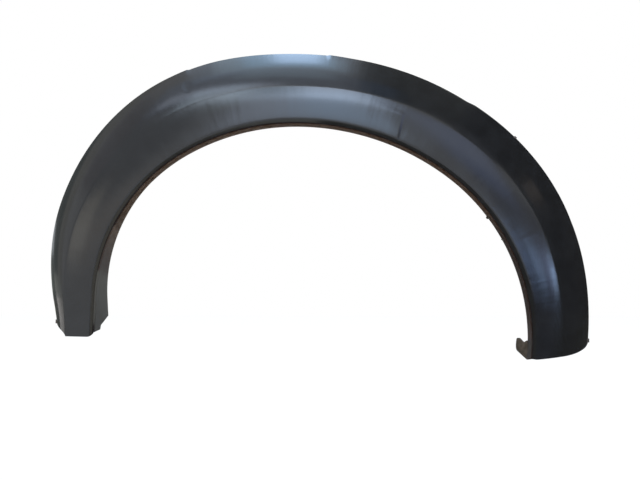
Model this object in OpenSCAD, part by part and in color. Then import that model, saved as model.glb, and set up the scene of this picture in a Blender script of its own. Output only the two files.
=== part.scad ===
// Wheel arch trim: one moulded shell that follows the edge of a wheel opening.
// Millimetres, +Z up, X along the vehicle, the outer face towards -Y.
// The origin lies midway between the two screw holes at the crown of the lip.

/* [Opening right of the crown] */
// Radius of the lip over the crown
crown_r_right = 520; // [470:5:580]
// Angle that the crown arc turns through
crown_turn_right = 37; // [30:1:42]
// Radius of the lip round the shoulder and down the leg
shoulder_r_right = 408; // [370:2:450]
// Angle that the shoulder arc turns through, down to the foot
shoulder_turn_right = 59.8; // [52:0.2:62]

/* [Opening left of the crown] */
// Radius of the lip over the crown
crown_r_left = 456; // [410:2:520]
// Angle that the crown arc turns through
crown_turn_left = 29; // [24:1:34]
// Radius of the lip round the shoulder
shoulder_r_left = 352; // [320:2:400]
// Angle that the shoulder arc turns through
shoulder_turn_left = 60; // [54:1:63]
// Straight length of the lip below the shoulder
leg_l_left = 77; // [60:1:120]

/* [Flat band next to the opening] */
// Width at the left foot
face_w_foot_left = 55; // [50:1:75]
// Width two thirds of the way down the left side
face_w_low_left = 76; // [62:1:88]
// Width one third of the way down the left side
face_w_high_left = 82; // [68:1:95]
// Width at the crown
face_w_crown = 77; // [65:1:90]
// Width one third of the way down the right side
face_w_high_right = 81; // [68:1:95]
// Width two thirds of the way down the right side
face_w_low_right = 74; // [62:1:88]
// Width at the right foot
face_w_foot_right = 58; // [50:1:75]
// Rise of the band from its outer crease to the lip
face_lean = 4; // [2:0.5:7]
// Fullness of the band between crease and lip
face_crown = 1.5; // [0.5:0.5:3]

/* [Sloping band outside the crease] */
// Width at the left foot
slope_w_foot_left = 28; // [20:0.5:45]
// Width two thirds of the way down the left side
slope_w_low_left = 56.5; // [45:0.5:75]
// Width one third of the way down the left side
slope_w_high_left = 84; // [65:0.5:100]
// Width at the crown
slope_w_crown = 80; // [65:0.5:100]
// Width one third of the way down the right side
slope_w_high_right = 76.5; // [60:0.5:95]
// Width two thirds of the way down the right side
slope_w_low_right = 74.5; // [60:0.5:95]
// Width at the right foot
slope_w_foot_right = 62; // [45:0.5:80]
// Fullness of the band, as a height over its chord at mid width
slope_crown = 4; // [2:0.5:6]

/* [Shell] */
// Thickness of the moulding
wall = 3; // [2:0.25:4]
// Depth from the flat band's highest line to the plane that seats on the body
lip_depth = 40; // [34:1:50]
// Radius of the rounded edge between the flat band and the lip
lip_edge_r = 9; // [6:0.5:12]
// How far the lip leans into the opening at the left foot
lip_lean_left = 23; // [0:1:26]
// Length of the left side over which the lip comes to lean
lip_lean_run = 340; // [200:10:400]

/* [Feet] */
// Rise of the left end from the crease to the seating edge
end_rise_left = 24; // [10:1:35]
// Rise of the left end from the flat band to the notch in the lip
notch_base_left = 11; // [6:1:16]
// Height of the notch in the left end of the lip
notch_h_left = 9; // [4:1:14]
// Rise of the left end of the lip behind the notch
lip_rise_left = 19; // [10:1:30]
// Rise of the right end across the flat band
face_rise_right = 10; // [4:1:16]
// Rise of the right end from the crease to the seating edge
end_rise_right = 24; // [10:1:35]
// Drop of the right end across the lip
lip_drop_right = 4; // [0:0.5:6]

/* [Anchor ear on the right foot] */
// Reach of the ear from the back of the lip
ear_reach = 24; // [16:1:30]
// Height of the ear's hooked tip over the foot
ear_h = 43; // [34:1:55]
// Height of the bevel under the ear
ear_bevel = 19; // [12:1:26]
// Distance of the hook's point from the back of the lip
ear_tip = 15; // [12:0.5:20]
// Radius of the hollow between the lip and the hook
ear_root_r = 4.5; // [3:0.5:6]
// Angle of the ear from the seating plane
ear_angle = 45; // [30:1:60]

/* [Fixings] */
// Diameter of the screw holes in the lip
screw_d = 6.5; // [4.5:0.25:8]
// Distance from the seating edge to the screw holes
screw_inset = 14; // [10:0.5:18]
// Spacing of the two screw holes at the crown
crown_pitch = 100; // [60:5:140]
// Distances of the other left holes from the crown, along the lip
screws_left = [190, 325]; // [160:5:640]
// Distances of the other right holes from the crown, along the lip
screws_right = [200, 330, 461, 518]; // [160:5:660]

/* [Seating edge] */
// Distance from the crown, along the lip, at which the right edge steps out
edge_step_at = 296; // [150:2:450]
// How far the edge steps out there
edge_step_h = 2.5; // [0:0.5:5]
// Length over which the edge runs back to its even curve
edge_step_run = 240; // [60:10:300]
// Distances of the right locating tabs from the crown, along the lip
tabs_right = [385]; // [60:5:640]
// Width of a locating tab
tab_w = 6; // [4:1:20]
// How far a locating tab stands out
tab_h = 1.2; // [1:0.2:4]
// Width of the stop at each foot
stop_w = 8; // [5:0.5:12]
// How far the stop at each foot stands out
stop_h = 1.5; // [1:0.5:8]

/* [Hidden] */

trim_colour = [0.16, 0.165, 0.175];
ring_step = 15;
slope_steps = 5;
face_steps = 4;
round_steps = 5;
// Powers that shape how the lean, the step, the left end and its notch set in
lip_lean_bend = 1.5;
edge_step_fade = 4;
end_bend = 0.6;
notch_bend = 1.5;
// Radius of the ear's rounded back, as a multiple of its reach
ear_back = 1.1;
seat_y = screw_inset;
face_y = seat_y - lip_depth;
crease_y = face_y + face_lean;

// Each side is a chain of arcs [radius, turn] that starts level at the crown
arcs_right = [[crown_r_right, crown_turn_right], [shoulder_r_right, shoulder_turn_right]];
arcs_left = [[crown_r_left, crown_turn_left], [shoulder_r_left, shoulder_turn_left]];

function arc_len(arc) = arc[0] * arc[1] * PI / 180;
function arcs_of(side) = side > 0 ? arcs_right : arcs_left;
function side_len(side) =
    arc_len(arcs_of(side)[0]) + arc_len(arcs_of(side)[1]) + (side > 0 ? 0 : leg_l_left);

// Place [distance out, height, heading] at a length s down one side of the lip
function arc_end(p, r, turn) =
    [p[0] + r * (sin(p[2] + turn) - sin(p[2])),
     p[1] - r * (cos(p[2]) - cos(p[2] + turn)),
     p[2] + turn];
function straight_end(p, l) = [p[0] + l * cos(p[2]), p[1] - l * sin(p[2]), p[2]];
function walk(arcs, s, p, i) =
    i == len(arcs) ? straight_end(p, s) :
    s <= arc_len(arcs[i]) ? arc_end(p, arcs[i][0], s / arcs[i][0] * 180 / PI) :
    walk(arcs, s - arc_len(arcs[i]), arc_end(p, arcs[i][0], arcs[i][1]), i + 1);
function lip_place(side, s) = walk(arcs_of(side), s, [0, 0, 0], 0);

// A point at q outside the lip and depth y, at a length s down one side
function at(side, s, q, y) =
    let (p = lip_place(side, s))
    [side * (p[0] + q * sin(p[2])), y, p[1] + q * cos(p[2])];

// Smooth curve through evenly spaced widths, from the left foot to the right foot
function pick(w, i) = w[min(max(i, 0), len(w) - 1)];
function smooth(w, t) =
    let (i = min(floor(t), len(w) - 2))
    let (f = t - i)
    let (a = pick(w, i))
    let (b = pick(w, i + 1))
    let (da = (b - pick(w, i - 1)) / 2)
    let (db = (pick(w, i + 2) - a) / 2)
    a + da * f + (3 * (b - a) - 2 * da - db) * f * f + (2 * (a - b) + da + db) * f * f * f;
face_widths = [face_w_foot_left, face_w_low_left, face_w_high_left, face_w_crown,
    face_w_high_right, face_w_low_right, face_w_foot_right];
slope_widths = [slope_w_foot_left, slope_w_low_left, slope_w_high_left, slope_w_crown,
    slope_w_high_right, slope_w_low_right, slope_w_foot_right];
crown_station = (len(face_widths) - 1) / 2;
function station(side, s) = crown_station * (1 + side * s / side_len(side));
function edge_step(side, s) =
    let (t = (s - edge_step_at) / edge_step_run)
    side < 0 || t < 0 || t > 1 ? 0 : edge_step_h * (1 - pow(t, edge_step_fade));
function face_w(side, s) = smooth(face_widths, station(side, s));
function slope_w(side, s) = smooth(slope_widths, station(side, s));
function edge_q(side, s) = face_w(side, s) + slope_w(side, s) + edge_step(side, s);
function lean_at(side, s) =
    side > 0 ? 0 :
    lip_lean_left * pow(max(0, 1 - (side_len(side) - s) / lip_lean_run), lip_lean_bend);

// Outer side of the section, from the seating edge over the crease and face to the lip
lip_parts = [0.2, 0.42, 0.47, 1];
function bow(t) = 4 * t * (1 - t);
function section(fw, sw, lean, step) = concat(
    [for (i = [0 : slope_steps - 1])
        let (t = i / slope_steps)
        let (chord = norm([sw, seat_y - crease_y]))
        [fw + sw * (1 - t) + slope_crown * bow(t) * (seat_y - crease_y) / chord + (i == 0 ? step : 0),
         seat_y + (crease_y - seat_y) * t - slope_crown * bow(t) * sw / chord]],
    [for (i = [0 : face_steps - 1])
        let (t = i / face_steps)
        [fw + (lip_edge_r - fw) * t, crease_y - face_lean * t - face_crown * bow(t)]],
    [for (i = [0 : round_steps])
        let (a = 90 * i / round_steps)
        [lip_edge_r * (1 - sin(a)), face_y + lip_edge_r * (1 - cos(a))]],
    [for (t = lip_parts)
        let (y = face_y + lip_edge_r + (lip_depth - lip_edge_r) * t)
        [-lean * t, y]]
);

// How far each point of the section stops short of the end of the side
face_end = slope_steps + face_steps;
first_lip = face_end + round_steps + 1;
function slope_rise(side, t) =
    side > 0 ? face_rise_right + end_rise_right * (1 + t - sqrt(1 - t * t)) / 2 :
    end_rise_left * pow(t, end_bend);
function face_rise(side, t) = side > 0 ? face_rise_right * t : 0;
function lip_rise(side, i) =
    side > 0 ? (i < first_lip ? 0 : -lip_drop_right * lip_parts[i - first_lip]) :
    i < first_lip + 2 ? notch_base_left * pow((i - face_end) / (round_steps + 2), notch_bend) :
    notch_base_left + notch_h_left + lip_rise_left * (i - first_lip - 2);
function end_rise(side, i) =
    i <= slope_steps ? slope_rise(side, 1 - i / slope_steps) :
    i <= face_end ? face_rise(side, 1 - (i - slope_steps) / face_steps) :
    lip_rise(side, i);

// Inner side of the section, one wall away along the mitre at each point
function unit(v) = v / norm(v);
function turned(v) = [-v[1], v[0]];
function wall_normal(pts, i) =
    let (a = unit(turned(pts[i] - pts[max(i - 1, 0)] + (i == 0 ? pts[1] - pts[0] : [0, 0]))))
    let (b = unit(turned(pts[min(i + 1, len(pts) - 1)] - pts[i]
        + (i == len(pts) - 1 ? pts[i] - pts[i - 1] : [0, 0]))))
    (a + b) / (1 + a * b);
function slide_to_seat(p, along) = p + along * (seat_y - p[1]) / along[1];
function inner_side(pts) =
    [for (i = [0 : len(pts) - 1])
        let (p = pts[i] - wall * wall_normal(pts, i))
        i == 0 ? slide_to_seat(p, pts[1] - pts[0]) :
        i == len(pts) - 1 ? slide_to_seat(p, pts[i] - pts[i - 1]) : p];

// One ring of the shell at a fraction u down one side
function ring(side, u) =
    [for (layer = [0, 1])
        for (k = [0 : section_n - 1])
            let (i = layer == 0 ? k : section_n - 1 - k)
            let (s = u * (side_len(side) - end_rise(side, i)))
            let (pts = section(face_w(side, s), slope_w(side, s), lean_at(side, s), edge_step(side, s)))
            let (q = layer == 0 ? pts[i] : inner_side(pts)[i])
            at(side, s, q[0], q[1])];
section_n = len(section(face_w_crown, slope_w_crown, 0, 0));
rings_left = ceil(side_len(-1) / ring_step);
rings_right = ceil(side_len(1) / ring_step);
rings = concat(
    [for (k = [rings_left : -1 : 1]) ring(-1, k / rings_left)],
    [for (k = [0 : rings_right]) ring(1, k / rings_right)]);

module shell() {
    n = 2 * section_n;
    last = (len(rings) - 1) * n;
    skin = [for (r = [0 : len(rings) - 2]) for (k = [0 : n - 1])
        let (a = r * n + k)
        let (b = r * n + (k + 1) % n)
        for (f = [[a, a + n, b], [b, a + n, b + n]]) f];
    left_end = [for (k = [0 : section_n - 2])
        let (a = k)
        let (b = n - 1 - k)
        for (f = [[a, a + 1, b], [a + 1, b - 1, b]]) f];
    right_end = [for (f = left_end) [f[0] + last, f[2] + last, f[1] + last]];
    polyhedron(points = [for (r = rings) for (p = r) p], faces = concat(skin, left_end, right_end));
}

// Turns and moves a child so that its +Z points away from the opening, square to the lip
module on_lip(side, s, q = 0, y = 0) {
    p = lip_place(side, s);
    translate(at(side, s, q, y))
        rotate([0, side * p[2], 0])
            children();
}

module screw_hole() {
    translate([0, 0, -screw_d])
        cylinder(d = screw_d, h = 3 * screw_d, $fn = 32);
}

module screw_holes() {
    for (side = [-1, 1])
        translate([side * crown_pitch / 2, 0, 0])
            screw_hole();
    for (s = screws_left)
        on_lip(-1, s)
            screw_hole();
    for (s = screws_right)
        on_lip(1, s)
            screw_hole();
}

// A small tab on the seating edge
module edge_tab(side, s, w, h) {
    on_lip(side, s, edge_q(side, s), seat_y)
        translate([-w / 2, -wall, -wall])
            cube([w, wall, wall + h]);
}

module edge_tabs() {
    for (s = tabs_right)
        edge_tab(1, s, tab_w, tab_h);
    for (side = [-1, 1])
        edge_tab(side, side_len(side) - slope_rise(side, 1) - stop_w / 2, stop_w, stop_h);
}

// Outline of the anchor ear: reach from the lip along X, height over the foot along Y
module ear_outline() {
    valley_h = ear_h - 2 * ear_root_r;
    back_r = ear_back * ear_reach;
    intersection() {
        polygon([[-wall, 0], [0, 0], [ear_reach, ear_bevel], [ear_reach, ear_h],
            [ear_tip, ear_h], [ear_root_r, valley_h], [-wall, valley_h]]);
        translate([ear_reach - back_r, ear_h / 2])
            circle(r = back_r, $fn = 64);
    }
    difference() {
        translate([-wall, valley_h - wall])
            square([wall + ear_root_r, wall + ear_root_r]);
        translate([ear_root_r, valley_h + ear_root_r])
            circle(r = ear_root_r, $fn = 32);
    }
}

module anchor_ear() {
    translate(at(1, side_len(1) + lip_drop_right, 0, seat_y))
        rotate([0, 0, 180 - ear_angle])
            rotate([90, 0, 0])
                linear_extrude(wall)
                    ear_outline();
}

module arch_trim() {
    color(trim_colour)
        difference() {
            union() {
                shell();
                edge_tabs();
                anchor_ear();
            }
            screw_holes();
        }
}

arch_trim();
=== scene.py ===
"""Wheel arch trim: one satin plastic moulding, in a plain pale studio."""
import math
import bmesh
import bpy
import numpy as np
from mathutils import Matrix, Vector


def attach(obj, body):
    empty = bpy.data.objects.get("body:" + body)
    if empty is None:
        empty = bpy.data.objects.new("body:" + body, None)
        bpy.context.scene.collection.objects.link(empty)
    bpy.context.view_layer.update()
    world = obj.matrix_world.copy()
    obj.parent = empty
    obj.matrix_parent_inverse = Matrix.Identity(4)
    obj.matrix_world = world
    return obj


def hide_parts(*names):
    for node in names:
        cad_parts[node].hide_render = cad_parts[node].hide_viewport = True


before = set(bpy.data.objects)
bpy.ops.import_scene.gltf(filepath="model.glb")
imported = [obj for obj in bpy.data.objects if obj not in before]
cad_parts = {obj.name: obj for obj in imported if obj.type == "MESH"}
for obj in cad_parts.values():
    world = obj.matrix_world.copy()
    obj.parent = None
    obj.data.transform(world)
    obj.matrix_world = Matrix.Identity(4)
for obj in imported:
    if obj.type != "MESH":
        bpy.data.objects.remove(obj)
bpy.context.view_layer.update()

MM = 0.001

# Sizes of the moulding, in millimetres and degrees. They are those of the solid model, except that
# the notch's base is 3 mm longer and the edge step starts 4 mm earlier, on a ramp. The solid has
# no ramp, no joggles and no nibs, and its free edges are sharp.

# Arcs of the lip from the crown down, on the right and the left: radius and turn
LIP_ARCS = {1: ((520, 37), (408, 59.8)), -1: ((456, 29), (352, 60))}
LEG_LEFT = 77

# Widths of the flat band and the sloping band, evenly spaced from the left foot to the right foot
FACE_WIDTHS = (55, 76, 82, 77, 81, 74, 58)
SLOPE_WIDTHS = (28, 56.5, 84, 80, 76.5, 74.5, 62)
FACE_LEAN = 4
FACE_CROWN = 1.5
SLOPE_CROWN = 4
WALL = 3
LIP_DEPTH = 40
LIP_EDGE_R = 9
LIP_LEAN = 23
LIP_LEAN_RUN = 340
LIP_LEAN_BEND = 1.5
SEAT_Y = 14
FACE_Y = SEAT_Y - LIP_DEPTH
CREASE_Y = FACE_Y + FACE_LEAN
CREASE_ROUND = 2.2

# The rim stands out by a height along part of the right side: from "at" for "run" down it. It comes
# up over a ramp, fades out by a power, and flares over the outer share "reach" of the sloping band.
EDGE_STEP = {"at": 292, "ramp": 14, "height": 2.5, "run": 244, "fade": 4, "reach": 0.25}

# Small joggles of the rim: place, height and run before it, height and run after it
EDGE_JOGGLES = {-1: (172, -1.0, 45, 0.8, 25), 1: (53, 0.0, 1, 1.5, 38)}

# Ends of the two sides: how far the rim and the flat band stop short, and the lip runs on
END_RISE_LEFT = 24
END_BEND_LEFT = 0.6
FACE_RISE_RIGHT = 10
END_RISE_RIGHT = 24
LIP_DROP_RIGHT = 4

# Notch of the left foot: its base and height, and the shares of the lip's depth at which it is cut
NOTCH_BASE_LEFT = 14
NOTCH_H_LEFT = 9
LIP_RISE_LEFT = 19
NOTCH_FRONT = 0.42
NOTCH_BACK = 0.47

# Shares of the way round the left foot's corner: where the lip's rounding ends, then at
# FOOT_MIDDLE of the lip's depth, then at the notch
FOOT_MIDDLE = 0.2
FOOT_TURNS = (5 / 7, 6 / 7, 1)
FOOT_BEND = 1.5

# Hooked ear behind the right foot
EAR_REACH = 24
EAR_H = 43
EAR_BEVEL = 19
EAR_TIP = 15
EAR_ROOT_R = 4.5
EAR_ANGLE = 45
EAR_VALLEY = EAR_H - 2 * EAR_ROOT_R

# Corners of the ear: distance out, height and how far each is rounded
EAR_CORNERS = (
    (-WALL, 0, 0),
    (0, 0, 0),
    (EAR_REACH - 1.2, EAR_BEVEL - 1, 3),
    (EAR_REACH, EAR_H * 0.62, 8),
    (EAR_REACH - 2.2, EAR_H, 4),
    (EAR_TIP, EAR_H, 1.5),
    (EAR_ROOT_R + 0.6, EAR_VALLEY, 4.5),
    (0, EAR_VALLEY + EAR_ROOT_R, 4),
    (-WALL, EAR_VALLEY + EAR_ROOT_R, 0),
)

# Screws, tabs and nibs are placed by their length from the crown
SCREW_D = 6.5
CROWN_PITCH = 100
SCREWS = {-1: (190, 325), 1: (200, 330, 461, 518)}
TABS_RIGHT = (385,)
TAB_W, TAB_H = 6, 1.2
STOP_W, STOP_H = 8, 1.5
NIBS_RIGHT = ((458, 7, 3.2), (512, 3, 1.4))
NIB_LENGTH = 2.5

# Rounding of the free edges, and the angles from which an edge is rounded and is shaded sharp
EDGE_ROUND = 0.45
ROUNDED_FROM = 50
SHARP_FROM = 32

# Fineness of the mesh: length of a ring, shares of each zone of the section, and corners
RING_STEP = 3.6
SLOPE_SHARES = np.linspace(0, 1, 21)
FACE_SHARES = np.linspace(0, 0.96, 15)
ROUND_SHARES = np.linspace(0, 1, 13)
LIP_SHARES = (0.1, FOOT_MIDDLE, 0.31, NOTCH_FRONT, NOTCH_BACK, 0.6, 0.73, 0.87, 1.0)
CREASE_REACH = 2
CORNER_STEPS = 7
NIB_SIDES = 12
SCREW_SIDES = 40


def side_length(side):
    """Length of the lip from the crown down to one foot."""
    arcs = sum(r * math.radians(turn) for r, turn in LIP_ARCS[side])
    return arcs + (LEG_LEFT if side < 0 else 0)


def lip_place(side, s):
    """Distance out, height and heading of the lip at lengths s from the crown."""
    s = np.asarray(s, float)
    x, z, h = np.zeros_like(s), np.zeros_like(s), np.zeros_like(s)
    left = s.copy()
    for r, turn in LIP_ARCS[side]:
        part = np.minimum(left, r * math.radians(turn))
        end = h + part / r
        x = x + r * (np.sin(end) - np.sin(h))
        z = z - r * (np.cos(h) - np.cos(end))
        h = end
        left = left - part
    return x + left * np.cos(h), z - left * np.sin(h), h


def lip_point(side, s, q, y):
    """A point at q outside the lip and depth y, as an array of x, y, z."""
    x, z, h = lip_place(side, s)
    return np.stack([side * (x + q * np.sin(h)), y + 0 * x, z + q * np.cos(h)], -1)


def spread(widths, side, s):
    """Width at lengths s, on a smooth curve through the widths from foot to foot."""
    w = np.asarray(widths, float)
    last = len(w) - 1
    t = last / 2 * (1 + side * s / side_length(side))
    i = np.minimum(np.floor(t).astype(int), last - 1)
    f = t - i
    a, b = w[i], w[i + 1]
    da = (b - w[np.maximum(i - 1, 0)]) / 2
    db = (w[np.minimum(i + 2, last)] - a) / 2
    return a + da * f + (3 * (b - a) - 2 * da - db) * f**2 + (2 * (a - b) + da + db) * f**3


def edge_step(side, s):
    """How far the seating edge stands out past its even curve."""
    at, before, before_run, after, after_run = EDGE_JOGGLES[side]
    off = s - at
    joggle = np.where(off < 0, before * np.maximum(0, 1 + off / before_run),
                      after * np.maximum(0, 1 - off / after_run))
    if side < 0:
        return joggle
    ramp = np.clip((s - EDGE_STEP["at"]) / EDGE_STEP["ramp"], 0, 1)
    t = np.clip((s - EDGE_STEP["at"]) / EDGE_STEP["run"], 0, 1)
    return joggle + EDGE_STEP["height"] * ramp * (1 - t ** EDGE_STEP["fade"])


def sizes_at(side, s):
    """Widths of the flat band and the sloping band, lean of the lip and step of the edge."""
    lean = 0 * s
    if side < 0:
        lean = LIP_LEAN * np.maximum(0, 1 - (side_length(side) - s) / LIP_LEAN_RUN) ** LIP_LEAN_BEND
    return spread(FACE_WIDTHS, side, s), spread(SLOPE_WIDTHS, side, s), lean, edge_step(side, s)


def bow(t):
    """A shallow crown: 0 at both ends of a zone and 1 in its middle."""
    return 4 * t * (1 - t)


def section_point(zone, t, face_w, slope_w, lean, step):
    """Outer side of the section: q and y at a place in one zone of it."""
    if zone == "slope":
        rise = SEAT_Y - CREASE_Y
        chord = np.hypot(slope_w, rise)
        crown = SLOPE_CROWN * bow(t) / chord
        flare = step * np.maximum(0, 1 - t / EDGE_STEP["reach"]) ** 2
        return face_w + slope_w * (1 - t) + crown * rise + flare, SEAT_Y - rise * t - crown * slope_w
    if zone == "face":
        q = face_w + (LIP_EDGE_R - face_w) * t
        return q, CREASE_Y - FACE_LEAN * t - FACE_CROWN * bow(t) + 0 * q
    if zone == "round":
        a = math.pi / 2 * t
        q, y = LIP_EDGE_R * (1 - math.sin(a)), FACE_Y + LIP_EDGE_R * (1 - math.cos(a))
        return q + 0 * face_w, y + 0 * face_w
    return -lean * t, FACE_Y + LIP_EDGE_R + (LIP_DEPTH - LIP_EDGE_R) * t + 0 * face_w


def end_rise(side, zone, t):
    """How far a place of the section stops short of the end of the side."""
    if zone == "slope":
        back = 1 - t
        if side < 0:
            return END_RISE_LEFT * back**END_BEND_LEFT
        return FACE_RISE_RIGHT + END_RISE_RIGHT * (1 + back - np.sqrt(1 - back**2)) / 2
    if zone == "face":
        return FACE_RISE_RIGHT * (1 - t) if side > 0 else 0 * t
    if side > 0:
        return -LIP_DROP_RIGHT * t if zone == "lip" else 0 * t
    if zone == "round":
        return NOTCH_BASE_LEFT * (t * FOOT_TURNS[0]) ** FOOT_BEND
    if t <= NOTCH_FRONT:
        return NOTCH_BASE_LEFT * np.interp(t, (0, FOOT_MIDDLE, NOTCH_FRONT), FOOT_TURNS) ** FOOT_BEND
    behind = NOTCH_BASE_LEFT + NOTCH_H_LEFT
    rises = (NOTCH_BASE_LEFT, behind, behind + LIP_RISE_LEFT)
    return float(np.interp(t, (NOTCH_FRONT, NOTCH_BACK, 1), rises))


def section_places():
    """Places along the section: (zone, share of the zone, distance from the crease)."""
    places = [("slope", t, None) for t in SLOPE_SHARES]
    places += [("slope", None, CREASE_ROUND / 2), ("face", None, 0), ("face", None, CREASE_ROUND / 2)]
    places += [("face", t, None) for t in FACE_SHARES]
    places += [("round", t, None) for t in ROUND_SHARES]
    places += [("lip", t, None) for t in LIP_SHARES]
    return places


PLACES = section_places()
CREASE = next(i for i, p in enumerate(PLACES) if p[2] == 0)


def place_share(place, face_w, slope_w):
    """Share of its zone at which a place lies, for these widths."""
    zone, t, d = place
    if zone in ("round", "lip"):
        return t
    if zone == "slope":
        chord = np.hypot(slope_w, SEAT_Y - CREASE_Y)
        return t * (1 - CREASE_ROUND / chord) if d is None else 1 - d / chord
    start = CREASE_ROUND / (face_w - LIP_EDGE_R)
    return start + t * (1 - start) if d is None else d / (face_w - LIP_EDGE_R)


def sharp_point(i, sizes):
    """A point of the outer side, with the crease left sharp."""
    zone = PLACES[i][0]
    share = place_share(PLACES[i], sizes[0], sizes[1])
    q, y = section_point(zone, share, *sizes)
    return np.stack([q, y], -1)


def pulled_curve(a, corner, b, w):
    """The point at share w of a curve from a to b that is pulled towards a corner."""
    return (1 - w) ** 2 * a + 2 * w * (1 - w) * corner + w**2 * b


def outer_point(i, sizes):
    """A point of the outer side, with the crease rounded over."""
    first, last = CREASE - CREASE_REACH, CREASE + CREASE_REACH
    if not first <= i <= last:
        return sharp_point(i, sizes)
    a, corner, b = (sharp_point(k, sizes) for k in (first, CREASE, last))
    return pulled_curve(a, corner, b, (i - first) / (last - first))


def unit(v):
    """Directions of unit length."""
    return v / np.linalg.norm(v, axis=-1, keepdims=True)


def turned(v):
    """Directions turned a quarter to the left."""
    return np.stack([-v[..., 1], v[..., 0]], -1)


def inner_point(i, sizes):
    """A point of the inner side, one wall in along the mitre."""
    here = sharp_point(i, sizes)
    before = sharp_point(max(i - 1, 0), sizes)
    after = sharp_point(min(i + 1, len(PLACES) - 1), sizes)
    run = [here - before, after - here]
    if i == 0:
        run[0] = run[1]
    if i == len(PLACES) - 1:
        run[1] = run[0]
    a, b = unit(turned(run[0])), unit(turned(run[1]))
    point = here - WALL * (a + b) / (1 + (a * b).sum(-1, keepdims=True))
    if i in (0, len(PLACES) - 1):
        slide = (SEAT_Y - point[..., 1]) / run[0][..., 1]
        point = point + run[0] * slide[..., None]
    return point


def side_grid(side, shares):
    """Rings of points down one side: outer layer, then inner layer back to the rim."""
    length = side_length(side)
    count = len(PLACES)
    grid = np.zeros((len(shares), 2 * count, 3))
    chart = np.zeros((len(shares), 2 * count, 2))
    for i, place in enumerate(PLACES):
        s = shares * length
        # The widths and the end depend on each other, and three rounds settle them
        for _ in range(3):
            face_w, slope_w = sizes_at(side, s)[:2]
            s = shares * (length - end_rise(side, place[0], place_share(place, face_w, slope_w)))
        sizes = sizes_at(side, s)
        for k, point in ((i, outer_point), (2 * count - 1 - i, inner_point)):
            p = point(i, sizes)
            grid[:, k] = lip_point(side, s, p[:, 0], p[:, 1])
            chart[:, k, 0] = side * s
            chart[:, k, 1] = p[:, 0] - (p[:, 1] if k == i else 0)
    return grid, chart


def shell_mesh():
    """The moulded shell as one closed skin, with a chart of lengths along and across it."""
    grids = []
    for side in (-1, 1):
        count = math.ceil(side_length(side) / RING_STEP)
        shares = np.arange(0, count + 1) / count
        grid, chart = side_grid(side, shares)
        grids.append((grid[:0:-1], chart[:0:-1]) if side < 0 else (grid, chart))
    grid = np.concatenate([g for g, _ in grids])
    chart = np.concatenate([c for _, c in grids])
    rings, n = grid.shape[:2]
    r, k = np.meshgrid(np.arange(rings - 1), np.arange(n), indexing="ij")
    a, b = r * n + k, r * n + (k + 1) % n
    faces = np.stack([a, a + n, b + n, b], -1).reshape(-1, 4).tolist()
    last = (rings - 1) * n
    for j in range(n // 2 - 1):
        quad = [j, j + 1, n - 2 - j, n - 1 - j]
        faces.append(quad)
        faces.append([v + last for v in reversed(quad)])
    return grid.reshape(-1, 3), faces, chart.reshape(-1, 2)


def new_piece(name, points, faces):
    """An object from points in millimetres."""
    mesh = bpy.data.meshes.new(name)
    mesh.from_pydata([tuple(p) for p in np.asarray(points) * MM], [], faces)
    piece = bpy.data.objects.new(name, mesh)
    bpy.context.scene.collection.objects.link(piece)
    return piece


def box_points(x0, x1, y0, y1, z0, z1):
    """The eight corners of a box."""
    return [(x, y, z) for x in (x0, x1) for y in (y0, y1) for z in (z0, z1)]


BOX_FACES = [(0, 1, 3, 2), (4, 6, 7, 5), (0, 4, 5, 1), (2, 3, 7, 6), (0, 2, 6, 4), (1, 5, 7, 3)]


def circle(radius, sides):
    """Corners of a round outline."""
    angles = [2 * math.pi * i / sides for i in range(sides)]
    return [(radius * math.cos(a), radius * math.sin(a)) for a in angles]


def prism_faces(sides):
    """Faces of a prism whose points are one outline and then the other."""
    ends = [list(range(sides)), list(range(2 * sides - 1, sides - 1, -1))]
    return ends + [(i, i + sides, (i + 1) % sides + sides, (i + 1) % sides) for i in range(sides)]


def on_lip(points, side, s, q, y):
    """Points of a local frame whose +Z is square to the lip, moved to their place."""
    base = lip_point(side, s, q, y)
    heading = float(lip_place(side, s)[2])
    turn = Matrix.Rotation(side * heading, 3, "Y")
    return [np.asarray(turn @ Vector(p)) + base for p in points]


def edge_tab(side, s, w, h):
    """A small tab that stands out from the seating edge."""
    face_w, slope_w, _, step = sizes_at(side, np.asarray(float(s)))
    points = box_points(-w / 2, w / 2, -WALL, 0, -WALL, h)
    return on_lip(points, side, s, face_w + slope_w + step, SEAT_Y), BOX_FACES


def lip_nib(side, s, w, h):
    """A small round nib on the back edge of the lip, inside the wheel opening."""
    outline = circle(w / 2, NIB_SIDES)
    points = [(x, y, z - h + w / 2) for y in (-NIB_LENGTH, 0) for x, z in outline]
    return on_lip(points, side, s, 0, SEAT_Y), prism_faces(NIB_SIDES)


def rounded_outline(corners):
    """Outline through (x, y, radius) corners, each rounded by a short curve."""
    points = []
    n = len(corners)
    for i, (x, y, r) in enumerate(corners):
        here = np.array([x, y], float)
        if r == 0:
            points.append(here)
            continue
        back = np.array(corners[i - 1][:2], float) - here
        on = np.array(corners[(i + 1) % n][:2], float) - here
        a = here + back * min(r / np.linalg.norm(back), 0.5)
        b = here + on * min(r / np.linalg.norm(on), 0.5)
        points += [pulled_curve(a, here, b, w) for w in np.linspace(0, 1, CORNER_STEPS)]
    return points


def anchor_ear():
    """The slanted hooked plate behind the right foot."""
    outline = rounded_outline(EAR_CORNERS)
    foot = lip_point(1, side_length(1) + LIP_DROP_RIGHT, 0, SEAT_Y)
    a = math.radians(180 - EAR_ANGLE)
    out = np.array([math.cos(a), math.sin(a), 0])
    through = np.array([math.sin(a), -math.cos(a), 0])
    up = np.array([0, 0, 1])
    points = [foot + p[0] * out + p[1] * up + w * through for w in (0, WALL) for p in outline]
    return points, prism_faces(len(outline))


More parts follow.
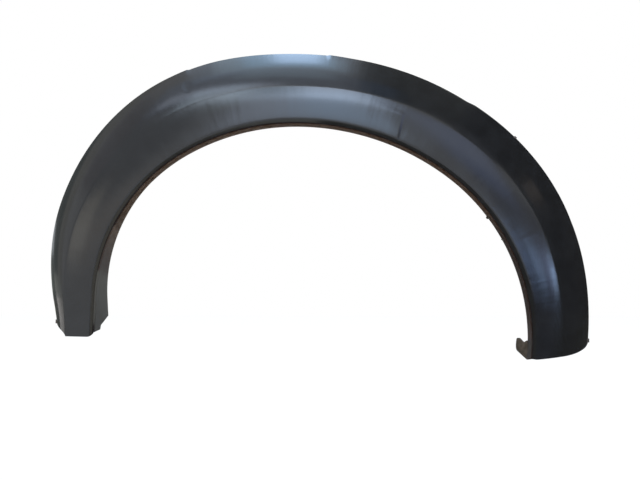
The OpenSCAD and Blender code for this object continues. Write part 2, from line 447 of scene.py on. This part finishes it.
def screw_cutter(side, s):
    """A round cutter through the lip. The crown's pair, with no s, stands upright."""
    r = SCREW_D / 2
    points = [(x, y, z) for z in (-2 * r, 4 * r) for x, y in circle(r, SCREW_SIDES)]
    if s is None:
        points = [np.asarray(p) + (side * CROWN_PITCH / 2, 0, 0) for p in points]
    else:
        points = on_lip(points, side, s, 0, 0)
    return points, prism_faces(SCREW_SIDES)


def join_parts(parts):
    """Points and faces of several parts as one."""
    points, faces = [], []
    for part_points, part_faces in parts:
        base = len(points)
        points += [tuple(p) for p in part_points]
        faces += [[base + v for v in face] for face in part_faces]
    return points, faces


def outward(piece):
    """Turns the faces of a closed piece so that they look outwards."""
    work = bmesh.new()
    work.from_mesh(piece.data)
    bmesh.ops.recalc_face_normals(work, faces=work.faces)
    work.to_mesh(piece.data)
    work.free()


def combine(piece, other, how):
    """Adds another solid to a piece or cuts it away, for good."""
    outward(other)
    step = piece.modifiers.new(how.lower(), "BOOLEAN")
    step.operation = how
    step.solver = "EXACT"
    step.object = other
    keep_modifiers(piece)
    bpy.data.objects.remove(other)


def keep_modifiers(piece):
    """Makes what the modifiers do part of the mesh."""
    seen = piece.evaluated_get(bpy.context.evaluated_depsgraph_get())
    mesh = bpy.data.meshes.new_from_object(seen)
    piece.modifiers.clear()
    old = piece.data
    piece.data = mesh
    bpy.data.meshes.remove(old)


def lay_chart(piece, chart):
    """Keeps the lengths along and across the shell as its map, in metres."""
    layer = piece.data.uv_layers.new(name="chart")
    corner_points = np.zeros(len(piece.data.loops), int)
    piece.data.loops.foreach_get("vertex_index", corner_points)
    layer.data.foreach_set("uv", (chart[corner_points] * MM).ravel())


def small_parts():
    """Tabs and stops of the seating edge, nibs of the lip and the ear."""
    parts = [edge_tab(1, s, TAB_W, TAB_H) for s in TABS_RIGHT]
    for side in (-1, 1):
        rim_end = side_length(side) - float(end_rise(side, "slope", 0.0))
        parts.append(edge_tab(side, rim_end - STOP_W / 2, STOP_W, STOP_H))
    parts += [lip_nib(1, *nib) for nib in NIBS_RIGHT]
    return join_parts(parts + [anchor_ear()])


def screw_holes():
    """Cutters for all the screw holes, the crown's pair first."""
    cutters = [screw_cutter(side, None) for side in (-1, 1)]
    cutters += [screw_cutter(side, s) for side in (-1, 1) for s in SCREWS[side]]
    return join_parts(cutters)


def round_edges(piece):
    """Rounds the free edges a little and shades the rest smooth."""
    bevel = piece.modifiers.new("edges", "BEVEL")
    bevel.width = EDGE_ROUND * MM
    bevel.segments = 2
    bevel.limit_method = "ANGLE"
    bevel.angle_limit = math.radians(ROUNDED_FROM)
    bevel.use_clamp_overlap = True
    keep_modifiers(piece)
    piece.data.shade_smooth()
    piece.data.set_sharp_from_angle(angle=math.radians(SHARP_FROM))


def trim_piece():
    """The whole moulding: the shell, what stands on it and its screw holes."""
    points, faces, chart = shell_mesh()
    piece = new_piece("arch_moulding", points, faces)
    outward(piece)
    lay_chart(piece, chart)
    combine(piece, new_piece("added", *small_parts()), "UNION")
    combine(piece, new_piece("cut", *screw_holes()), "DIFFERENCE")
    round_edges(piece)
    return piece


trim = trim_piece()
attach(trim, "root")
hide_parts("arch_trim")


class Value:
    """A socket of a node tree. Sums, products and the like on it add Math nodes."""

    def __init__(self, tree, socket):
        self.tree = tree
        self.socket = socket

    def math(self, operation, *values):
        """A Math node on these values."""
        node = self.tree.nodes.new("ShaderNodeMath")
        node.operation = operation
        for entry, value in zip(node.inputs, values):
            feed(self.tree, entry, value)
        return Value(self.tree, node.outputs[0])

    def __add__(self, other):
        return self.math("ADD", self, other)

    def __sub__(self, other):
        return self.math("SUBTRACT", self, other)

    def __rsub__(self, other):
        return self.math("SUBTRACT", other, self)

    def __mul__(self, other):
        return self.math("MULTIPLY", self, other)

    def most(self, other):
        """The greater of two values."""
        return self.math("MAXIMUM", self, other)

    __radd__ = __add__
    __rmul__ = __mul__


def feed(tree, entry, value):
    """Sets a socket or links a value to it."""
    if isinstance(value, Value):
        tree.links.new(value.socket, entry)
    else:
        entry.default_value = value


class Nodes:
    """Adds nodes to one tree."""

    def __init__(self, tree):
        self.tree = tree
        tree.nodes.clear()

    def add(self, kind, settings=None, **sockets):
        """A node of a type, its settings first, then its sockets by name or by _number."""
        node = self.tree.nodes.new(kind)
        for name, value in (settings or {}).items():
            setattr(node, name, value)
        for name, value in sockets.items():
            key = int(name[1:]) if name[0] == "_" else name.replace("_", " ")
            feed(self.tree, node.inputs[key], value)
        return node

    def out(self, node, name=0):
        """An output of a node, the first one if none is named."""
        return Value(self.tree, node.outputs[name])

    def noise(self, place, scale, detail=2.0, roughness=0.5):
        """Noise between 0 and 1."""
        node = self.add("ShaderNodeTexNoise",
                        Vector=place, Scale=scale, Detail=detail, Roughness=roughness)
        return self.out(node, 0)

    def span(self, value, low, high, to_low=0.0, to_high=1.0):
        """A value's range mapped smoothly to another."""
        node = self.add("ShaderNodeMapRange", {"interpolation_type": "SMOOTHSTEP"},
                        _0=value, _1=low, _2=high, _3=to_low, _4=to_high)
        return self.out(node, 0)

    def blend(self, share, first, second):
        """A mix of two colours."""
        node = self.add("ShaderNodeMix", {"data_type": "RGBA"}, _0=share, _6=first, _7=second)
        return self.out(node, 2)

    def scaled(self, place, factors):
        """A place with each of its lengths scaled."""
        node = self.add("ShaderNodeVectorMath", {"operation": "MULTIPLY"}, _0=place, _1=factors)
        return self.out(node)


def new_material(name):
    """A new material and its nodes, none yet."""
    material = bpy.data.materials.new(name)
    material.use_nodes = True
    return material, Nodes(material.node_tree)


# Colours of the plastic and of its lip, as one colour or as a range of two. The lip's brown is a
# painted reflection of a brown floor, made paler on the left leg and greyer at the left foot as
# painted light, and darker and greener on the right leg as painted shade, lighter again at the right
# foot
BLACK = ((0.0095, 0.0096, 0.0100, 1), (0.0125, 0.0125, 0.0128, 1))
LIP_BROWN_REFLECTION = ((0.050, 0.037, 0.026, 1), (0.096, 0.070, 0.050, 1))
LIP_LEFT_LIT_REFLECTION = ((0.062, 0.046, 0.031, 1), (0.118, 0.086, 0.060, 1))
LIP_LEFT_FOOT_LIGHT = (0.050, 0.048, 0.044, 1)
LIP_RIGHT_LEG_SHADE = ((0.033, 0.037, 0.036, 1), (0.062, 0.058, 0.055, 1))

# Places on the chart, in metres: where the weld line would meet the lip, its slant, and the dent
WELD_AT = 0.218
WELD_SLANT = 0.158
DENT_AT = (-0.182, 0.1324, 0)
PLASTIC_IOR = 1.5


def lip_painted_light(n, place, along):
    """Colour of the lip, brown in the middle and greyer towards the feet: a painted reflection of a
    brown floor, mottled, paler on the left leg as painted light and darker on the right leg as
    painted shade.
    """
    lip_mottle = n.span(n.noise(place, 95, 3, 0.6), 0.38, 0.66)
    left_leg = n.blend(n.span(along, -0.53, -0.40), LIP_LEFT_FOOT_LIGHT, n.blend(lip_mottle, *LIP_LEFT_LIT_REFLECTION))
    left_side = n.blend(n.span(along, -0.08, -0.01), left_leg, n.blend(lip_mottle, *LIP_BROWN_REFLECTION))
    right_leg = n.blend(n.span(along, 0.66, 0.72), *LIP_RIGHT_LEG_SHADE)
    return n.blend(n.span(along, 0.42, 0.52), left_side, right_leg)


def weld_line(n, along, across):
    """A faint ridge across the flat band, steep on its right side."""
    past_weld = along - (WELD_AT - WELD_SLANT * across)
    run = n.span(across, 0.028, 0.036) * n.span(across, 0.080, 0.093, 1, 0)
    return run * n.span(past_weld, -0.06, -0.003) * n.span(past_weld, -0.003, 0.003, 1, 0)


def small_dent(n, chart):
    """A shallow round dent in the sloping band."""
    away = n.add("ShaderNodeVectorMath", {"operation": "DISTANCE"}, _0=chart, _1=DENT_AT)
    return n.span(n.out(away, "Value"), 0.001, 0.010, 1, 0)


def trim_plastic():
    """Satin black moulded plastic: fine grain, faint flow lines, slight waves and handling marks."""
    material, n = new_material("satin_black_moulding")
    place = n.out(n.add("ShaderNodeTexCoord"), "Object")
    chart = n.out(n.add("ShaderNodeUVMap", {"uv_map": "chart"}))
    parts = n.add("ShaderNodeSeparateXYZ", _0=chart)
    along, across = n.out(parts, "X"), n.out(parts, "Y")
    lip = 1 - n.span(across, 0.009, 0.021)

    grain = n.noise(place, 1500, 2)
    waves = n.noise(place, 9, 1)
    patches = n.noise(place, 24, 4, 0.6)
    flow = n.noise(n.scaled(chart, (170, 3, 0)), 1, 3, 0.6)
    streaks = n.noise(n.scaled(chart, (60, 7, 0)), 1, 2)
    marks = n.noise(n.scaled(chart, (900, 14, 0)), 1, 2)

    black = n.blend(n.span(patches, 0.35, 0.65), *BLACK)
    # The lip takes a painted colour: a brown reflection, with painted light on the left leg and
    # painted shade on the right leg
    tone = n.blend(lip, black, lip_painted_light(n, place, along))
    rough = 0.11 + 0.05 * patches + 0.02 * flow + 0.03 * marks + 0.14 * lip

    # Heights in metres
    height = 0.00024 * waves + 0.00015 * streaks + 0.000006 * flow + 0.0000035 * grain
    height = height + 0.00042 * weld_line(n, along, across) - 0.0005 * small_dent(n, chart)
    bump = n.add("ShaderNodeBump", Height=height, Distance=1.0, Strength=1.0)
    shader = n.add("ShaderNodeBsdfPrincipled", Base_Color=tone, Roughness=rough, IOR=PLASTIC_IOR,
                   Normal=n.out(bump))
    n.add("ShaderNodeOutputMaterial", Surface=n.out(shader))
    return material


trim.data.materials.append(trim_plastic())


def seen_rays(n):
    """1 for what the eye, a gloss or a clear piece sees, 0 for light on dull surfaces."""
    path = n.add("ShaderNodeLightPath")
    camera = n.out(path, "Is Camera Ray")
    return camera.most(n.out(path, "Is Glossy Ray")).most(n.out(path, "Is Transmission Ray"))


# Lamps stand this far from this point, in metres, and those above OVERHEAD degrees lie level
LAMP_DISTANCE = 12
LAMP_CENTRE = Vector((0.05, 0, 0))
OVERHEAD = 60

# Soft boxes: azimuth and elevation, width and height in degrees, radiance of red, green and blue
SOFT_BOXES = (
    ("front", -1.5, 20, 16, 18, (1.9, 2.3, 3)),
    ("front_middle", 1.5, 22, 8, 20, (0.2, 0.8, 1.5)),
    ("front_top", -2.5, 31, 20, 11, (1.8, 2.5, 3.3)),
    ("front_core", 2.5, 32, 9, 12, (3.9, 4.5, 5.8)),
    ("front_left", -15.5, 31, 8, 6, (4, 4.9, 5.8)),
    ("front_left_low", -12, 26, 5, 6, (0.4, 0.4, 0.3)),
    ("crease_left", -15, 39.2, 17, 3.5, (3, 3.4, 3.9)),
    ("front_edge", 10, 30, 5, 9, (1.2, 1.6, 2.4)),
    ("front_right", 20, 19, 12, 16, (0.4, 0.6, 1.2)),
    ("low_left_far", -34, 8, 13, 9, (1.2, 1.1, 0.9)),
    ("low_left_near", -20.5, 5.2, 14, 5, (0.4, 0.3, 0.2)),
    ("low_right_near", 15.5, 1.7, 8, 3.2, (1.4, 2.2, 4.1)),
    ("low_right", 24.5, 2.7, 8, 3.6, (2.5, 3.8, 6.4)),
    ("low_right_far", 31.5, 3.6, 6, 4, (1.2, 1.6, 3)),
    ("low_right_end", 36, 3.3, 4, 3, (8.6, 12.5, 19.9)),
    ("sky", -15, 54, 50, 20, (0, 0.1, 0.3)),
    ("sky_high", -9, 60, 18, 9, (0.7, 1, 1.2)),
    ("sky_left", -23.5, 42, 13, 12, (2.2, 2.8, 3.4)),
    ("sky_left_wide", -27, 46.5, 26, 6, (1.7, 1.9, 2.3)),
    ("over_wide", -41.5, 76.8, 34, 36, (0.5, 0.7, 1)),
    ("over_mid", -39, 80, 26, 32, (0.9, 1.3, 1.6)),
    ("over_near", -34, 82.8, 17, 29, (0.5, 1.2, 2)),
    ("over_core", -25, 85.9, 9.2, 24, (3.4, 4.6, 6.8)),
)


# Heights of the floor, of the cards on it and of the board's foot, and the floor's reach, in metres
FLOOR_Z = -0.78
CARD_Z = -0.77
BOARD_FOOT = -0.7
FLOOR_REACH = 16

# Points along each side of a board behind the opening, and along a strip
BOARD_POINTS = 24
STRIP_POINTS = 8


def wall_x(x, y0, y1, z0, z1):
    """Corners of a wall that faces left or right."""
    return [(x, y0, z0), (x, y1, z0), (x, y1, z1), (x, y0, z1)]


def wall_y(y, x0, x1, z0, z1):
    """Corners of a wall that faces the front or the back."""
    return [(x0, y, z0), (x1, y, z0), (x1, y, z1), (x0, y, z1)]


def level(z, x0, x1, y0, y1):
    """Corners of a level sheet."""
    return [(x0, y0, z), (x1, y0, z), (x1, y1, z), (x0, y1, z)]


def opening_board(inset, y):
    """Outline of a board behind the wheel opening, set in from the lip."""
    outline = []
    for side in (-1, 1):
        s = np.linspace(0, side_length(side), BOARD_POINTS)
        outline += (lip_point(side, s if side > 0 else s[:0:-1], -inset, y) * MM).tolist()
    return outline + [(outline[i][0], outline[i][1], BOARD_FOOT) for i in (-1, 0)]


def opening_strip(side, s0, s1, inset0, inset1, y):
    """Outline of a strip behind the wheel opening, along part of the lip."""
    s = np.linspace(s0, s1, STRIP_POINTS)
    outline = np.concatenate([lip_point(side, s, -inset0, y), lip_point(side, s[::-1], -inset1, y)])
    return (outline * MM).tolist()


# Cards: corners in metres, then the colour that they show
GLOSS_CARDS = (
    ("card_right", wall_x(8, -8.9, 12, CARD_Z, 11), (0.06, 0.045, 0.03)),
    ("card_right_glow", wall_x(7.9, -6.8, -3.4, 3.8, 4.7), (0.6, 0.5, 0.42)),
    ("card_right_high", wall_x(8, -16, -8.9, 6.5, 11), (0.23, 0.23, 0.25)),
    ("card_over_right", level(11, 2.2, 8, -12, 12), (0.21, 0.2, 0.17)),
    ("card_low", level(CARD_Z, -1.5, 0.3, -3, 0.03), (0.88, 0.88, 0.78)),
    ("card_floor_right", level(CARD_Z, 0.3, 8, -8.9, 12), (0.1, 0.085, 0.055)),
    ("card_low_right", wall_y(-8.9, 2, 8, CARD_Z, -0.08), (0.05, 0.035, 0.025)),
    ("card_front_right", wall_y(-14, 3.7, 12.6, CARD_Z, 0.9), (0.1, 0.08, 0.05)),
    ("card_front_right_high", wall_y(-14, 3.7, 12.6, 0.9, 4.2), (0.43, 0.41, 0.41)),
    ("card_front_left", wall_y(-14, -16, -3.6, 2.7, 18), (0.66, 0.67, 0.69)),
    ("card_side_left", wall_x(-16, -14, -4, 7.5, 22), (0.69, 0.67, 0.69)),
    ("card_left", wall_x(-7.5, 0.5, 12, CARD_Z, 14), (0.3, 0.33, 0.31)),
    ("card_left_near", wall_x(-7.5, -1.5, 0.5, CARD_Z, 14), (0.73, 0.72, 0.66)),
    ("card_left_low", wall_x(-7.4, -1, 3, CARD_Z, -0.2), (0.93, 0.96, 0.89)),
    ("card_left_foot", wall_x(-4, -0.6, 1.4, CARD_Z, -0.6), (2.54, 2.44, 2.37)),
    ("card_left_foot_back", wall_x(-4, 1.4, 4.2, CARD_Z, -0.6), (0.25, 0.25, 0.25)),
    ("card_left_glint", wall_x(-4, 1.65, 2.5, 0.05, 0.6), (1.37, 1.46, 1.54)),
    ("card_front_floor", level(CARD_Z, -0.5, 0.4, -9, -1.6), (1.05, 1.12, 1.25)),
    ("card_floor_left", level(CARD_Z + 0.01, -7.5, -0.7, -1.5, 12), (0.1, 0.12, 0.08)),
    ("card_middle", wall_x(0.03, -1.1, 0.03, CARD_Z, -0.12), (0.13, 0.11, 0.06)),
    ("card_middle_left", wall_x(0.02, -1.5, 0.03, -0.48, -0.12), (0.8, 0.74, 0.58)),
    ("card_middle_left_low", wall_x(0.02, -1.1, 0.03, CARD_Z, -0.48), (0.3, 0.27, 0.2)),
    ("card_right_foot", wall_y(-0.5, 0.25, 0.8, CARD_Z, -0.345), (0.1, 0.08, 0.07)),
    ("card_brown", opening_board(2, 37), (0.07, 0.02, 0)),
    ("card_opening", opening_board(110, 36), (0.08, 0.04, 0.02)),
    ("card_lip_foot", opening_strip(-1, 545, 655, 3, 180, 35), (0.72, 0.71, 0.62)),
    ("card_lip_leg", opening_strip(-1, 450, 545, 3, 90, 35), (0.35, 0.24, 0.18)),
)


# Light of the world and of the floor, and what the eye and the gloss see of them
SKY = (0.95, 0.97, 1, 1)
SKY_STRENGTH = 0.75
WHITE = (1, 1, 1, 1)
FLOOR_GREY = (0.82, 0.82, 0.82, 1)
FLOOR_STRENGTH = 1.06
FLOOR_SEEN = 0.85


def studio_world():
    """White for the eye, and a soft light from all round for the trim."""
    world = bpy.data.worlds.new("pale_studio")
    bpy.context.scene.world = world
    world.use_nodes = True
    n = Nodes(world.node_tree)
    seen = seen_rays(n)
    dull = n.add("ShaderNodeBackground", Color=SKY, Strength=SKY_STRENGTH)
    white = n.add("ShaderNodeBackground", Color=WHITE, Strength=1.0)
    mixed = n.add("ShaderNodeMixShader", _0=seen, _1=n.out(dull), _2=n.out(white))
    n.add("ShaderNodeOutputWorld", Surface=n.out(mixed))


def flat_card(name, corners):
    """A flat sheet that isn't part of the object."""
    mesh = bpy.data.meshes.new(name)
    mesh.from_pydata(corners, [], [range(len(corners))])
    card = bpy.data.objects.new(name, mesh)
    bpy.context.scene.collection.objects.link(card)
    return card


def studio_floor():
    """A pale floor that keeps a little of the trim's shadow."""
    floor = flat_card("floor", level(FLOOR_Z, -FLOOR_REACH, FLOOR_REACH, -FLOOR_REACH, FLOOR_REACH))
    material, n = new_material("pale_floor")
    dull = n.add("ShaderNodeBsdfDiffuse", Color=FLOOR_GREY)
    white = n.add("ShaderNodeEmission", Color=WHITE, Strength=FLOOR_STRENGTH)
    share = seen_rays(n) * FLOOR_SEEN
    mixed = n.add("ShaderNodeMixShader", _0=share, _1=n.out(dull), _2=n.out(white))
    n.add("ShaderNodeOutputMaterial", Surface=n.out(mixed))
    floor.data.materials.append(material)


def gloss_card(name, corners, colour):
    """A plain glowing card beside the trim. Only the gloss of the plastic shows it."""
    card = flat_card(name, corners)
    card.visible_camera = False
    card.visible_diffuse = False
    card.visible_shadow = False
    material, n = new_material(name + "_paper")
    glow = n.add("ShaderNodeEmission", Color=(*colour, 1))
    n.add("ShaderNodeOutputMaterial", Surface=n.out(glow))
    card.data.materials.append(material)


def soft_box(name, azimuth, elevation, wide, high, radiance):
    """A flat lamp at these angles from the trim, as wide and high as these, in degrees."""
    a, e = math.radians(azimuth), math.radians(elevation)
    away = Vector((math.cos(e) * math.sin(a), -math.cos(e) * math.cos(a), math.sin(e)))
    lamp = bpy.data.lights.new(name, "AREA")
    lamp.shape = "RECTANGLE"
    lamp.size, lamp.size_y = (2 * LAMP_DISTANCE * math.tan(math.radians(v) / 2) for v in (wide, high))
    strongest = max(radiance)
    lamp.color = [c / strongest for c in radiance]
    lamp.energy = strongest * math.pi * lamp.size * lamp.size_y
    box = bpy.data.objects.new(name, lamp)
    turn = Matrix() if elevation > OVERHEAD else away.to_track_quat("Z", "Y").to_matrix().to_4x4()
    box.matrix_world = Matrix.Translation(LAMP_CENTRE + away * LAMP_DISTANCE) @ turn
    box.visible_camera = False
    bpy.context.scene.collection.objects.link(box)


# Camera: its place in metres, then in pixels of the photograph its focal length, the frame's width
# and how far right of the frame's middle and below it lines that run straight back meet
CAMERA_PLACE = (0.0624, -1.4305, -0.3592)
FOCAL = 700.0
FRAME_W = 640.0
DEPTH_RIGHT, DEPTH_DOWN = 5, 58
HALF_PIXEL = 0.5

# Width of the camera's sensor, in millimetres
SENSOR = 36.0


def studio_camera():
    """A camera that sees the trim as the photograph does."""
    ahead = Vector((DEPTH_RIGHT, DEPTH_DOWN, FOCAL)).normalized()
    up = Vector((0, -1, 0))
    up = (up - ahead * up.dot(ahead)).normalized()
    right = ahead.cross(up)
    turn = Matrix([(row[0], -row[1], -row[2]) for row in (right, ahead, up)])
    data = bpy.data.cameras.new("camera")
    data.sensor_width = SENSOR
    data.lens = FOCAL * SENSOR / FRAME_W
    data.shift_x = -HALF_PIXEL / FRAME_W
    data.shift_y = HALF_PIXEL / FRAME_W
    camera = bpy.data.objects.new("camera", data)
    camera.matrix_world = Matrix.Translation(CAMERA_PLACE) @ turn.to_4x4()
    bpy.context.scene.collection.objects.link(camera)
    bpy.context.scene.camera = camera


studio_world()
studio_floor()
for lamp_row in SOFT_BOXES:
    soft_box(*lamp_row)
for card_row in GLOSS_CARDS:
    gloss_card(*card_row)
studio_camera()
bpy.context.scene.view_settings.view_transform = "Standard"
